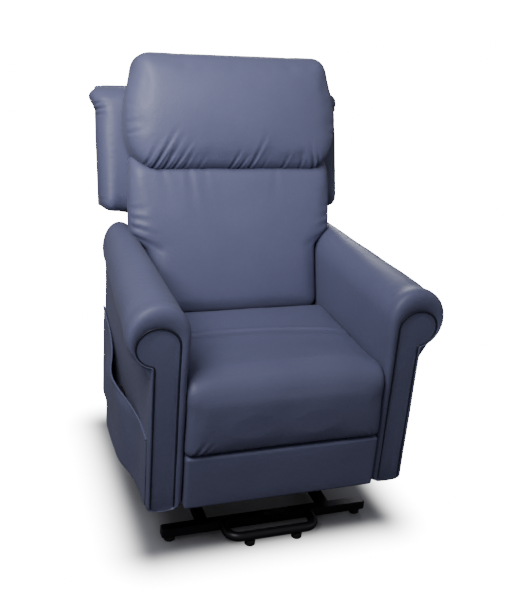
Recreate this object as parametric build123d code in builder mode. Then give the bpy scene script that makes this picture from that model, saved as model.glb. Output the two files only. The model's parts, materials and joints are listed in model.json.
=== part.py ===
from build123d import *
import os
from math import atan2, cos, degrees, radians, sin

# Lift recliner chair: a steel lift base, a seat frame on four lift links, a hinged footrest,
# a reclining back, two rolled arms, cushions, three actuators and a handset in the side pocket.
# Millimetres, +Z up, -Y is the front. The origin is on the floor, in the middle of the chair.

os.makedirs("parts", exist_ok=True)

# Upholstered body
seat_width = 510
seat_depth = 461
seat_height = 497
seat_cushion_thickness = 97
arm_thickness = 89
arm_length = 637
arm_setback = 20
arm_bottom = 149
arm_front_cap = 10
roll_radius = 75
roll_rise = 115
roll_rear_half_width = 48
roll_rear_half_height = 77
roll_tail = 20
facing_stem_width = 65
facing_stem_inset = 20
facing_circle_radius = 48
facing_circle_drop = 24

# Backrest, measured along its rake from the foot of the back, and rearwards from its front
back_rake = 15
back_rise = 620
back_thickness = 226
back_skin = 15
back_tail = 102
lumbar_drop = 35
lumbar_rise = 385
lumbar_thickness = 95
lumbar_neck_rise = 222
lumbar_overhang = 35
head_rise = 675
head_overhang = 38
head_side_overhang = 42
wing_rise = 262
wing_overhang = 99
recline_travel = 42
recline_crank = 75

# Footrest
footrest_travel = 85
footrest_roll_radius = 44
footrest_pad_thickness = 55
footrest_board_thickness = 12
footrest_seam_height = 296
footrest_bottom = 155
footrest_crank = 110
valance_setback = 12

# Lift linkage in the side view: (y, z) of the four pivots, y counted from the front of the chair
lift_travel = 60
front_pivot_from_front = 190
front_pivot_height = 60
rear_pivot_spacing = 60
front_link_run = 200
front_link_rise = 60
chair_pivot_spacing = 140
lift_crank = 80
open_pivot_clearance = 3.5

# Stock sizes
tube = 25
tube_wall = 2
plate = 6
link_plate = 8
link_width = 32
link_pin_radius = 8
shaft_radius = 14
hinge_tube_radius = 10
drive_pin_radius = 6
foot_height = 14
foot_radius = 14
strap_thickness = 2
strap_width = 50
base_overhang = 26
base_depth = 546
loop_half_width = 120
loop_reach = 54
loop_bend = 30
loop_foot_spacing = 130
actuator_radius = 23
rod_radius = 9
motor_radius = 28
motor_length = 110

# Clearances
running = 0.05
gap = 1
soft_gap = 3
arm_gap = 7.5
yoke_play = 2

# Side pocket and handset
pocket_depth = 28
pocket_wall = 4
pocket_front = 90
pocket_bottom = 168
pocket_mouth_front = 365
pocket_mouth_rear = 428
handset_length = 160
handset_width = 52
handset_thickness = 21
handset_from_front = 300
button_radius = 7
button_height = 1.5
button_travel = 1.2
button_pitch_y = 22
button_pitch_z = 26

# Worked out from the sizes above
rake_sin = sin(radians(back_rake))
rake_cos = cos(radians(back_rake))
overall_depth = seat_depth + back_rise * rake_sin + back_thickness * rake_cos
front = -overall_depth / 2
back_foot = front + seat_depth
arm_inner = seat_width / 2
arm_outer = arm_inner + arm_thickness
roll_height = seat_height + roll_rise
base_half_width = arm_inner + base_overhang
lumbar_half_width_above = arm_inner + lumbar_overhang
head_half_width = arm_inner + head_side_overhang
wing_half_width = arm_inner + wing_overhang
arm_front = front + arm_setback
arm_rear = arm_front + arm_length
roll_front_center = arm_inner + roll_radius - 5
roll_rear_center = arm_inner + roll_rear_half_width - 1
arm_body_front = arm_front + arm_front_cap
seat_bottom = seat_height - seat_cushion_thickness
rail_top = seat_bottom - strap_thickness - gap
rail_bottom = rail_top - tube
footrest_pivot = (front + footrest_roll_radius, seat_height - footrest_roll_radius + 2)
footrest_half_width = arm_inner - arm_gap
board_front = front + footrest_pad_thickness
board_rear = board_front + footrest_board_thickness
front_pivot = (front + front_pivot_from_front, front_pivot_height)
rear_pivot = (front_pivot[0] + rear_pivot_spacing, front_pivot_height)
chair_front_pivot = (front_pivot[0] + front_link_run, front_pivot_height + front_link_rise)
chair_rear_pivot = (chair_front_pivot[0] + chair_pivot_spacing, chair_front_pivot[1])
seat_rail_outer = arm_inner - 15
seat_rail_inner = seat_rail_outer - 24
lift_plate_inner = seat_rail_inner - plate
front_link_inner = lift_plate_inner - 14
rear_link_inner = front_link_inner - 14
bracket_inner = rear_link_inner - 12
base_rail_center = bracket_inner + plate / 2
upright_outer = seat_rail_outer - 14
wing_inner = upright_outer + plate
base_top = foot_height + tube
base_front = front + 89
base_rear = base_front + base_depth


def on_back(rise, depth):
    """Side-view point at a rise along the back and a depth behind its front."""
    y = back_foot + rise * rake_sin + depth * rake_cos
    z = seat_height + rise * rake_cos - depth * rake_sin
    return (y, z)


def back_plane(depth):
    """Front-view plane of the back: X across, Y up the rake, Z towards the sitter."""
    return Plane(origin=(0, *on_back(0, depth)), x_dir=(1, 0, 0), z_dir=(0, -rake_cos, rake_sin))


def turned(pivot, radius, angle):
    """Side-view point at a radius from a pivot, at an angle rearwards from straight down."""
    return (pivot[0] + radius * sin(radians(angle)), pivot[1] - radius * cos(radians(angle)))


def slab(side, inner, thickness):
    """Side-view plane whose extrusion fills the given distances from the centre line, and its amount."""
    if side > 0:
        return Plane.YZ.offset(inner), thickness
    return Plane.YZ.offset(-inner - thickness), thickness


def save(piece, name):
    piece.part.label = name
    export_step(piece.part, f"parts/{name}.step")


sides = (("left", -1), ("right", 1))

# --- Base: two crossbars, two rails, the front loop, caps and feet ---------------------------
for name, y_low in (("front_crossbar", base_front), ("rear_crossbar", base_rear - tube)):
    with BuildPart() as crossbar:
        with BuildSketch(Plane.YZ.offset(-base_half_width)):
            with Locations((y_low + tube / 2, foot_height + tube / 2)):
                Rectangle(tube, tube)
                Rectangle(tube - 2 * tube_wall, tube - 2 * tube_wall, mode=Mode.SUBTRACT)
        extrude(amount=2 * base_half_width)
    save(crossbar, name)

with BuildPart() as base_rails:
    with BuildSketch(Plane.XZ.offset(-(base_front + tube))):
        with Locations((-base_rail_center, base_top - tube / 2), (base_rail_center, base_top - tube / 2)):
            Rectangle(tube, tube)
            Rectangle(tube - 2 * tube_wall, tube - 2 * tube_wall, mode=Mode.SUBTRACT)
    extrude(amount=-(base_depth - 2 * tube))
save(base_rails, "base_rails")

with BuildPart() as front_loop:
    with BuildLine(Plane.XY.offset(foot_height + tube / 2)) as loop_path:
        FilletPolyline(
            (-loop_half_width, base_front),
            (-loop_half_width, base_front - loop_reach),
            (loop_half_width, base_front - loop_reach),
            (loop_half_width, base_front),
            radius=loop_bend,
        )
    with BuildSketch(Plane(origin=loop_path.line @ 0, z_dir=loop_path.line % 0)):
        Circle(tube / 2)
        Circle(tube / 2 - tube_wall, mode=Mode.SUBTRACT)
    sweep()
save(front_loop, "front_loop")

with BuildPart() as end_caps:
    for y_low in (base_front, base_rear - tube):
        for side in (-1, 1):
            with BuildSketch(Plane.YZ.offset(side * base_half_width)):
                with Locations((y_low + tube / 2, foot_height + tube / 2)):
                    RectangleRounded(tube, tube, 3)
            extrude(amount=side * 4)
save(end_caps, "end_caps")

foot_spots = [(side * (base_half_width - 18), y) for side in (-1, 1)
              for y in (base_front + tube / 2, base_rear - tube / 2)]
foot_spots += [(side * loop_foot_spacing / 2, base_front - loop_reach) for side in (-1, 1)]
with BuildPart() as feet:
    with BuildSketch(Plane.XY):
        with Locations(*foot_spots):
            Circle(foot_radius)
    extrude(amount=foot_height)
    chamfer(feet.edges().group_by(Axis.Z)[0], 2)
save(feet, "feet")

with BuildPart() as link_brackets:
    for side in (-1, 1):
        plane, amount = slab(side, bracket_inner, plate)
        with BuildSketch(plane):
            with BuildLine():
                Polyline(
                    (front_pivot[0] - 32, base_top),
                    (rear_pivot[0] + 32, base_top),
                    (rear_pivot[0] + 16, front_pivot_height + 20),
                    (front_pivot[0] - 20, front_pivot_height + 20),
                    close=True,
                )
            make_face()
            with Locations(front_pivot):
                Circle(shaft_radius + running, mode=Mode.SUBTRACT)
        extrude(amount=amount)
        plane, amount = slab(side, bracket_inner + plate, rear_link_inner + link_plate + 2 - bracket_inner - plate)
        with BuildSketch(plane):
            with Locations(rear_pivot):
                Circle(link_pin_radius)
        extrude(amount=amount)
save(link_brackets, "link_brackets")

# --- Actuators: a round housing with a gearbox and a rear lug, a motor, and a rod with a yoke -
def actuator(x, rear, height, length, sense):
    """Housing along Y. Its lug is at the rear end for sense 1, and the rod leaves at the other end."""
    with BuildPart() as housing:
        with BuildSketch(Plane.XZ.offset(-rear)):
            with Locations((x, height)):
                Circle(actuator_radius)
                Circle(rod_radius + 0.5, mode=Mode.SUBTRACT)
        extrude(amount=sense * length)
        with BuildSketch(Plane.XZ.offset(-rear)):
            with Locations((x, height)):
                RectangleRounded(2 * motor_radius, 2 * motor_radius, 8)
        extrude(amount=-sense * 2 * motor_radius)
        with BuildSketch(Plane.YZ.offset(x - 18)):
            with Locations((rear + sense * (2 * motor_radius + 14), height)):
                Rectangle(28, 36)
            with Locations((rear + sense * (2 * motor_radius + 16), height)):
                Circle(drive_pin_radius + running, mode=Mode.SUBTRACT)
        extrude(amount=36)
    return housing


yoke_half_depth = drive_pin_radius + yoke_play + 1 + 7


def yoke_rod(x, pin_y, low, high, end_y):
    """Rod to end_y with a yoke whose upright slot lets the drive pin run between two heights."""
    middle = (low + high) / 2
    outward = 1 if end_y > pin_y else -1
    slot_height = high - low + 2 * (drive_pin_radius + yoke_play)
    slot_width = 2 * (yoke_half_depth - 7)
    with BuildPart() as rod:
        with BuildSketch(Plane.YZ.offset(x - 18)):
            with Locations((pin_y, middle)):
                Rectangle(2 * yoke_half_depth, slot_height + 14)
                Rectangle(slot_width, slot_height, mode=Mode.SUBTRACT)
        extrude(amount=36)
        with BuildSketch(Plane.XZ.offset(-(pin_y + outward * slot_width / 2))):
            with Locations((x, middle)):
                Circle(rod_radius)
        extrude(amount=-outward * abs(end_y - pin_y - outward * slot_width / 2))
    return rod


def crank_plates(x, outline, pin, shaft=None, shaft_hole=0):
    """Two side plates around a yoke, joined by the drive pin."""
    with BuildPart() as crank:
        for inner in (x - 18 - 4 - plate, x + 18 + 4):
            with BuildSketch(Plane.YZ.offset(inner)):
                with BuildLine():
                    Polyline(*outline, close=True)
                make_face()
                with Locations(pin):
                    Circle(2 * drive_pin_radius)
                if shaft:
                    with Locations(shaft):
                        Circle(shaft_hole + plate)
                        Circle(shaft_hole, mode=Mode.SUBTRACT)
            extrude(amount=plate)
        with BuildSketch(Plane.YZ.offset(x - 22)):
            with Locations(pin):
                Circle(drive_pin_radius)
        extrude(amount=44)
    return crank


# --- Lift drive: on the base, pushing the crank on the torque shaft --------------------------
lift_pin_start = turned(front_pivot, lift_crank, 180 - lift_travel / 2)
lift_pin_low = lift_pin_start[1]
lift_pin_high = front_pivot[1] + lift_crank
lift_rod_height = (lift_pin_low + lift_pin_high) / 2
lift_housing_rear = base_rear - tube - 64
lift_housing_length = 190

lift_actuator = actuator(0, lift_housing_rear, lift_rod_height, lift_housing_length, 1)
save(lift_actuator, "lift_actuator")

with BuildPart() as lift_motor:
    with BuildSketch(Plane.YZ.offset(motor_radius)):
        with Locations((lift_housing_rear + motor_radius, lift_rod_height)):
            Circle(motor_radius - gap)
    extrude(amount=motor_length)
    fillet(lift_motor.faces().sort_by(Axis.X)[-1].edges(), 6)
save(lift_motor, "lift_motor")

lift_lug = (lift_housing_rear + 2 * motor_radius + 16, lift_rod_height)
with BuildPart() as lift_mount:
    for inner in (-18 - gap - plate, 18 + gap):
        with BuildSketch(Plane.YZ.offset(inner)):
            with BuildLine():
                Polyline(
                    (base_rear - tube, base_top),
                    (base_rear, base_top),
                    (lift_lug[0] + 14, lift_rod_height + 16),
                    (lift_lug[0] - 14, lift_rod_height + 16),
                    close=True,
                )
            make_face()
        extrude(amount=plate)
    with BuildSketch(Plane.YZ.offset(-18 - gap)):
        with Locations(lift_lug):
            Circle(drive_pin_radius)
    extrude(amount=36 + 2 * gap)
save(lift_mount, "lift_mount")

lift_rod = yoke_rod(0, lift_pin_start[0], lift_pin_low, lift_pin_high, lift_housing_rear - 40)
save(lift_rod, "lift_rod")

# --- Lift links: the torque shaft with its two links and crank, and two rear links ------------
with BuildPart() as torque_shaft:
    with BuildSketch(Plane.YZ.offset(-front_link_inner - link_plate)):
        with Locations(front_pivot):
            Circle(shaft_radius)
            Circle(shaft_radius - 3, mode=Mode.SUBTRACT)
    extrude(amount=2 * (front_link_inner + link_plate))
save(torque_shaft, "torque_shaft")


def link_outline(start, end, start_hole, end_hole):
    """Straight link between two side-view pivots, with a hole at each."""
    line = Vector(*end) - Vector(*start)
    middle = (Vector(*end) + Vector(*start)) / 2
    with Locations((middle.X, middle.Y)):
        SlotCenterToCenter(line.length, link_width, rotation=degrees(atan2(line.Y, line.X)))
    with Locations(start):
        Circle(start_hole, mode=Mode.SUBTRACT)
    with Locations(end):
        Circle(end_hole, mode=Mode.SUBTRACT)


with BuildPart() as front_links:
    for side in (-1, 1):
        plane, amount = slab(side, front_link_inner, link_plate)
        with BuildSketch(plane):
            link_outline(front_pivot, chair_front_pivot, shaft_radius, link_pin_radius + running)
        extrude(amount=amount)
save(front_links, "front_links")

lift_crank_outline = [
    (front_pivot[0] - shaft_radius, front_pivot[1]),
    (front_pivot[0] + shaft_radius, front_pivot[1] - 6),
    (lift_pin_start[0] + 11, lift_pin_start[1]),
    (lift_pin_start[0] - 10, lift_pin_start[1] + 5),
]
lift_crank_plates = crank_plates(0, lift_crank_outline, lift_pin_start, front_pivot, shaft_radius)
save(lift_crank_plates, "lift_crank")

for name, side in sides:
    with BuildPart() as rear_link:
        plane, amount = slab(side, rear_link_inner, link_plate)
        with BuildSketch(plane):
            link_outline(rear_pivot, chair_rear_pivot, link_pin_radius + running,
                         link_pin_radius + open_pivot_clearance)
        extrude(amount=amount)
    save(rear_link, f"rear_link_{name}")

# --- Seat frame: two long rails, two cross rails, lift plates, straps and pivot brackets -----
rail_front = board_rear + 8
rail_rear = back_foot + 57
with BuildPart() as seat_rails:
    for side in (-1, 1):
        middle = side * (seat_rail_inner + seat_rail_outer) / 2
        with BuildSketch(Plane.XZ.offset(-rail_front)):
            with Locations((middle, (rail_top + rail_bottom) / 2)):
                Rectangle(seat_rail_outer - seat_rail_inner, tube)
                Rectangle(seat_rail_outer - seat_rail_inner - 2 * tube_wall, tube - 2 * tube_wall,
                          mode=Mode.SUBTRACT)
        extrude(amount=-(rail_rear - rail_front))
save(seat_rails, "seat_rails")

footrest_drive_x = -60
footrest_pin_start = turned(footrest_pivot, footrest_crank, footrest_travel / 2)
footrest_pin_low = footrest_pivot[1] - footrest_crank
footrest_rod_height = (footrest_pin_low + footrest_pin_start[1]) / 2
seat_front_rail_y = footrest_pin_start[0] + yoke_half_depth + soft_gap
seat_rear_rail_y = back_foot + 19
for name, y_low, reach in (("seat_front_rail", seat_front_rail_y, seat_rail_inner),
                           ("seat_rear_rail", seat_rear_rail_y, lift_plate_inner)):
    with BuildPart() as cross_rail:
        with BuildSketch(Plane.YZ.offset(-reach)):
            with Locations((y_low + tube / 2, (rail_top + rail_bottom) / 2)):
                Rectangle(tube, tube)
                Rectangle(tube - 2 * tube_wall, tube - 2 * tube_wall, mode=Mode.SUBTRACT)
        extrude(amount=2 * reach)
        with BuildSketch(Plane.XZ.offset(-y_low)):
            with Locations((footrest_drive_x, footrest_rod_height)):
                Circle(rod_radius + gap)
        extrude(amount=-tube, mode=Mode.SUBTRACT)
    save(cross_rail, name)

for name, side in sides:
    with BuildPart() as lift_plate:
        plane, amount = slab(side, lift_plate_inner, plate)
        with BuildSketch(plane):
            with BuildLine():
                Polyline(
                    (chair_front_pivot[0] - 22, chair_front_pivot[1] - 22),
                    (chair_rear_pivot[0] + 22, chair_rear_pivot[1] - 22),
                    (chair_rear_pivot[0] + 22, chair_rear_pivot[1] + 40),
                    (chair_rear_pivot[0] - 28, rail_top),
                    (chair_front_pivot[0] - 22, rail_top),
                    close=True,
                )
            make_face()
            with Locations((chair_front_pivot[0] + chair_pivot_spacing / 3, (rail_bottom + arm_bottom) / 2)):
                Circle(chair_pivot_spacing / 4, mode=Mode.SUBTRACT)
        extrude(amount=amount)
        for pivot, reach in ((chair_front_pivot, front_link_inner - 2), (chair_rear_pivot, rear_link_inner - 2)):
            plane, amount = slab(side, reach, lift_plate_inner - reach)
            with BuildSketch(plane):
                with Locations(pivot):
                    Circle(link_pin_radius)
            extrude(amount=amount)
    save(lift_plate, f"lift_plate_{name}")

strap_count = 5
strap_pitch = 2 * seat_rail_inner / strap_count
with BuildPart() as seat_straps:
    with BuildSketch(Plane.XY.offset(rail_top)):
        with Locations((0, (seat_front_rail_y + seat_rear_rail_y + tube) / 2)):
            with GridLocations(strap_pitch, 0, strap_count, 1):
                Rectangle(strap_width, seat_rear_rail_y + tube - seat_front_rail_y)
    extrude(amount=strap_thickness)
save(seat_straps, "seat_straps")

with BuildPart() as footrest_hinge_brackets:
    for side in (-1, 1):
        plane, amount = slab(side, arm_inner - plate, plate)
        with BuildSketch(plane):
            with BuildLine():
                Polyline(
                    (footrest_pivot[0] - 15, footrest_pivot[1]),
                    (footrest_pivot[0] + 4, footrest_pivot[1] + 15),
                    (rail_front + 40, rail_top),
                    (rail_front + 40, rail_bottom),
                    (rail_front - 4, rail_bottom),
                    close=True,
                )
            make_face()
            with Locations(footrest_pivot):
                Circle(hinge_tube_radius + 7)
                Circle(hinge_tube_radius + running, mode=Mode.SUBTRACT)
        extrude(amount=amount)
save(footrest_hinge_brackets, "footrest_hinge_brackets")

recline_pivot_rise = -57
upright_depth = lumbar_thickness + gap + strap_thickness
upright_size = 22
recline_pivot = on_back(recline_pivot_rise, upright_depth + upright_size / 2)
upright_inner = upright_outer - upright_size
with BuildPart() as back_pivot_brackets:
    for side in (-1, 1):
        plane, amount = slab(side, seat_rail_outer, plate)
        with BuildSketch(plane):
            with BuildLine():
                Polyline(
                    (recline_pivot[0] - 70, rail_bottom),
                    (recline_pivot[0] + 12, rail_bottom),
                    (recline_pivot[0] + 16, recline_pivot[1]),
                    (recline_pivot[0] - 12, recline_pivot[1] + 10),
                    (recline_pivot[0] - 70, rail_top),
                    close=True,
                )
            make_face()
            with Locations(recline_pivot):
                Circle(2 * link_pin_radius)
        extrude(amount=amount)
        plane, amount = slab(side, upright_inner, seat_rail_outer - upright_inner)
        with BuildSketch(plane):
            with Locations(recline_pivot):
                Circle(link_pin_radius)
        extrude(amount=amount)
save(back_pivot_brackets, "back_pivot_brackets")

with BuildPart() as arm_spacers:
    for side in (-1, 1):
        plane, amount = slab(side, seat_rail_outer, arm_inner - seat_rail_outer)
        with BuildSketch(plane):
            with Locations((seat_front_rail_y + 60, (rail_top + rail_bottom) / 2),
                           (seat_rear_rail_y - 60, (rail_top + rail_bottom) / 2)):
                Circle(9)
        extrude(amount=amount)
save(arm_spacers, "arm_spacers")

# --- Seat cushion ----------------------------------------------------------------------------
cushion_front = footrest_pivot[0] + footrest_roll_radius + soft_gap
cushion_rear = back_foot + lumbar_drop * -rake_sin - soft_gap - 4
with BuildPart() as seat_cushion:
    with BuildSketch(Plane.XY.offset(seat_bottom)):
        with Locations((0, (cushion_front + cushion_rear) / 2)):
            Rectangle(2 * (arm_inner - arm_gap), cushion_rear - cushion_front)
    extrude(amount=seat_cushion_thickness)
    fillet(seat_cushion.edges().group_by(Axis.Z)[-1], 14)
save(seat_cushion, "seat_cushion")

# --- Arms: lower panel, tapering roll and front facing on each side --------------------------
def arm_roll_solid(side):
    with BuildPart() as roll:
        with BuildSketch(Plane.XZ.offset(-arm_body_front)):
            with Locations((side * roll_front_center, roll_height)):
                Ellipse(roll_radius, roll_radius + 1)
        with BuildSketch(Plane.XZ.offset(-(arm_rear + roll_tail))):
            with Locations((side * roll_rear_center, roll_height)):
                Ellipse(roll_rear_half_width, roll_rear_half_height)
        loft()
    return roll


for name, side in sides:
    arm_roll = arm_roll_solid(side)
    save(arm_roll, f"arm_roll_{name}")

    with BuildPart() as arm_panel:
        with BuildSketch(Plane.XY.offset(arm_bottom)):
            with Locations((side * (arm_inner + arm_outer) / 2, (arm_body_front + arm_rear) / 2)):
                Rectangle(arm_thickness, arm_rear - arm_body_front)
        extrude(amount=roll_height - arm_bottom)
        add(arm_roll.part, mode=Mode.SUBTRACT)
    arm_panel.part = arm_panel.part.solids().sort_by(SortBy.VOLUME)[-1]
    save(arm_panel, f"arm_panel_{name}")

    stem_center = side * (arm_inner + facing_stem_inset + facing_stem_width / 2)
    stem_top = roll_height - facing_circle_drop
    with BuildPart() as arm_facing:
        with BuildSketch(Plane.XZ.offset(-arm_body_front)):
            with Locations((stem_center, (arm_bottom + stem_top) / 2)):
                Rectangle(facing_stem_width, stem_top - arm_bottom)
            with Locations((side * (roll_front_center + 4), stem_top)):
                Circle(facing_circle_radius)
        extrude(amount=arm_front_cap)
    save(arm_facing, f"arm_facing_{name}")

# --- Side pocket on the left arm, and the closed lower rear panel ----------------------------
pocket_y_low = arm_front + pocket_front
pocket_x = -arm_outer - pocket_depth - pocket_wall


def pocket_outline(inset, lift):
    """Side view of the pocket, inset from its closed edges and carried past the mouth by lift."""
    Polygon(
        (pocket_y_low + inset, pocket_bottom + inset),
        (arm_rear - inset, pocket_bottom + inset),
        (arm_rear - inset, pocket_mouth_rear + lift),
        (pocket_y_low + inset, pocket_mouth_front + lift),
        align=None,
    )


with BuildPart() as side_pocket:
    with BuildSketch(Plane.YZ.offset(pocket_x)):
        pocket_outline(0, 0)
    extrude(amount=pocket_depth + pocket_wall)
    with BuildSketch(Plane.YZ.offset(pocket_x + pocket_wall)):
        pocket_outline(pocket_wall, 20)
    extrude(amount=pocket_depth, mode=Mode.SUBTRACT)
save(side_pocket, "side_pocket")

rear_panel_top = recline_pivot[1] - 94
rear_panel_rear = arm_rear + 8
rear_panel_thickness = 22
with BuildPart() as rear_panel:
    with BuildSketch(Plane.XY.offset(arm_bottom)):
        with Locations((0, rear_panel_rear - rear_panel_thickness / 2)):
            Rectangle(seat_width - 2 * gap, rear_panel_thickness)
    extrude(amount=rear_panel_top - arm_bottom)
save(rear_panel, "rear_panel")

# --- Footrest: hinge tube, board, rolled pad, lower panel and crank --------------------------
with BuildPart() as footrest_hinge_tube:
    with BuildSketch(Plane.YZ.offset(-arm_inner + gap)):
        with Locations(footrest_pivot):
            Circle(hinge_tube_radius)
            Circle(hinge_tube_radius - tube_wall, mode=Mode.SUBTRACT)
    extrude(amount=2 * (arm_inner - gap))
save(footrest_hinge_tube, "footrest_hinge_tube")

board_top = footrest_pivot[1] - 25
with BuildPart() as footrest_board:
    with BuildSketch(Plane.YZ.offset(-footrest_half_width)):
        with Locations(((board_front + board_rear) / 2, (board_top + footrest_bottom) / 2)):
            Rectangle(footrest_board_thickness, board_top - footrest_bottom)
        with Locations(footrest_pivot):
            Circle(footrest_roll_radius, mode=Mode.SUBTRACT)
    extrude(amount=2 * footrest_half_width)
save(footrest_board, "footrest_board")

with BuildPart() as footrest_pad:
    with BuildSketch(Plane.YZ.offset(-footrest_half_width)):
        with Locations(footrest_pivot):
            Circle(footrest_roll_radius)
        with Locations((front + footrest_pad_thickness / 2, (footrest_pivot[1] + footrest_seam_height) / 2)):
            Rectangle(footrest_pad_thickness, footrest_pivot[1] - footrest_seam_height)
        with Locations(footrest_pivot):
            Circle(hinge_tube_radius, mode=Mode.SUBTRACT)
    extrude(amount=2 * footrest_half_width)
save(footrest_pad, "footrest_pad")

with BuildPart() as footrest_valance:
    with BuildSketch(Plane.XZ.offset(-board_front)):
        with Locations((0, (footrest_bottom + footrest_seam_height - soft_gap) / 2)):
            Rectangle(2 * footrest_half_width, footrest_seam_height - soft_gap - footrest_bottom)
    extrude(amount=footrest_pad_thickness - valance_setback)
    fillet(footrest_valance.faces().sort_by(Axis.Y)[0].edges(), 8)
save(footrest_valance, "footrest_valance")

footrest_crank_outline = [
    (board_rear, board_top - 20),
    (board_rear, footrest_pin_start[1] - 35),
    (footrest_pin_start[0] + 6, footrest_pin_start[1] - 10),
    (footrest_pin_start[0] + 6, footrest_pin_start[1] + 10),
]
footrest_crank_plates = crank_plates(footrest_drive_x, footrest_crank_outline, footrest_pin_start)
save(footrest_crank_plates, "footrest_crank")

footrest_housing_front = seat_front_rail_y + tube + 8
footrest_housing_length = 170
footrest_rod = yoke_rod(footrest_drive_x, footrest_pin_start[0], footrest_pin_low, footrest_pin_start[1],
                        footrest_housing_front + 60)
save(footrest_rod, "footrest_rod")
footrest_housing_rear = footrest_housing_front + footrest_housing_length
footrest_actuator = actuator(footrest_drive_x, footrest_housing_rear, footrest_rod_height,
                             footrest_housing_length, 1)
save(footrest_actuator, "footrest_actuator")

# --- Backrest: uprights, cross tubes, straps, crank, outer back, cushions and wings ----------
with BuildPart() as back_uprights:
    for side in (-1, 1):
        with BuildSketch(back_plane(upright_depth + upright_size)):
            with Locations((side * (upright_inner + upright_outer) / 2,
                            (recline_pivot_rise - upright_size / 2 + back_rise - 60) / 2)):
                Rectangle(upright_size, back_rise - 60 - recline_pivot_rise + upright_size / 2)
        extrude(amount=upright_size)
    with BuildSketch(Plane.YZ.offset(-upright_outer)):
        with Locations(recline_pivot):
            Circle(link_pin_radius + running)
    extrude(amount=2 * upright_outer, mode=Mode.SUBTRACT)
save(back_uprights, "back_uprights")

upper_tube = on_back(back_rise - 90, upright_depth + upright_size / 2)
with BuildPart() as back_cross_tubes:
    with BuildSketch(Plane.YZ.offset(-upright_inner)):
        with Locations(recline_pivot, upper_tube):
            Circle(hinge_tube_radius)
            Circle(hinge_tube_radius - tube_wall, mode=Mode.SUBTRACT)
    extrude(amount=2 * upright_inner)
save(back_cross_tubes, "back_cross_tubes")

back_strap_pitch = 105
with BuildPart() as back_straps:
    with BuildSketch(back_plane(upright_depth)):
        with Locations((0, (back_rise - 100) / 2)):
            with GridLocations(0, back_strap_pitch, 1, strap_count):
                Rectangle(2 * upright_outer, strap_width)
    extrude(amount=strap_thickness)
save(back_straps, "back_straps")

recline_drive_x = 60
recline_pin_start = turned(recline_pivot, recline_crank, recline_travel / 2)
recline_crank_outline = [
    (recline_pivot[0] - 12, recline_pivot[1]),
    (recline_pin_start[0] - 11, recline_pin_start[1]),
    (recline_pin_start[0] + 11, recline_pin_start[1]),
    (recline_pivot[0] + 12, recline_pivot[1]),
]
recline_crank_plates = crank_plates(recline_drive_x, recline_crank_outline, recline_pin_start,
                                    recline_pivot, hinge_tube_radius)
save(recline_crank_plates, "recline_crank")

recline_pin_low = recline_pivot[1] - recline_crank
recline_rod_height = (recline_pin_low + recline_pin_start[1]) / 2
recline_housing_rear = back_foot + 17
recline_housing_length = 150
recline_rod = yoke_rod(recline_drive_x, recline_pin_start[0], recline_pin_low, recline_pin_start[1],
                       recline_housing_rear - 60)
save(recline_rod, "recline_rod")
recline_housing_front = recline_housing_rear - recline_housing_length
recline_actuator = actuator(recline_drive_x, recline_housing_front, recline_rod_height,
                            recline_housing_length, -1)
save(recline_actuator, "recline_actuator")

with BuildPart() as seat_motors:
    for x, y, height in ((footrest_drive_x, footrest_housing_rear + motor_radius, footrest_rod_height),
                         (recline_drive_x, recline_housing_front - motor_radius, recline_rod_height)):
        with BuildSketch(Plane.XY.offset(height - motor_radius)):
            with Locations((x, y)):
                Circle(motor_radius - gap)
        extrude(amount=-motor_length)
save(seat_motors, "seat_motors")

# Control box under the seat frame, with the round inlet for the supply lead
control_box_x = -150
with BuildPart() as control_box:
    with BuildSketch(Plane.XY.offset(rail_bottom)):
        with Locations((control_box_x, seat_rear_rail_y + tube - 60)):
            RectangleRounded(84, 120, 8)
    extrude(amount=-34)
    with BuildSketch(Plane.XZ.offset(-(seat_rear_rail_y + tube))):
        with Locations((control_box_x, rail_bottom - 17)):
            Circle(9)
            Circle(5, mode=Mode.SUBTRACT)
    extrude(amount=-8)
save(control_box, "control_box")

lumbar_half_width = arm_inner - arm_gap
with BuildPart() as lumbar_cushion:
    with BuildSketch(back_plane(lumbar_thickness)):
        with BuildLine():
            Polyline(
                (-lumbar_half_width, -lumbar_drop),
                (lumbar_half_width, -lumbar_drop),
                (lumbar_half_width, lumbar_neck_rise),
                (lumbar_half_width_above, lumbar_neck_rise + 30),
                (lumbar_half_width_above, lumbar_rise),
                (-lumbar_half_width_above, lumbar_rise),
                (-lumbar_half_width_above, lumbar_neck_rise + 30),
                (-lumbar_half_width, lumbar_neck_rise),
                close=True,
            )
        make_face()
    extrude(amount=lumbar_thickness)
save(lumbar_cushion, "lumbar_cushion")

head_bottom = lumbar_rise + soft_gap
head_middle = (head_bottom + head_rise) / 2
with BuildPart() as head_cushion:
    with BuildSketch(back_plane(lumbar_thickness)):
        with Locations((0, head_middle)):
            RectangleRounded(2 * head_half_width, head_rise - head_bottom, 40)
    extrude(amount=lumbar_thickness + head_overhang)
    fillet(head_cushion.faces().sort_by(Axis.Y)[0].edges(), 36)
save(head_cushion, "head_cushion")

wing_top = back_rise - 6
wing_rear = back_thickness - back_skin
for name, side in sides:
    with BuildPart() as wing:
        plane, amount = slab(side, wing_inner, wing_half_width - wing_inner)
        with BuildSketch(plane):
            with BuildLine():
                Polyline(
                    on_back(wing_rise, upright_depth),
                    on_back(wing_rise, wing_rear),
                    on_back(wing_top, wing_rear),
                    on_back(wing_top, upright_depth + 50),
                    on_back(wing_top - 50, upright_depth),
                    close=True,
                )
            make_face()
        extrude(amount=amount)
    save(wing, f"wing_{name}")

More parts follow.
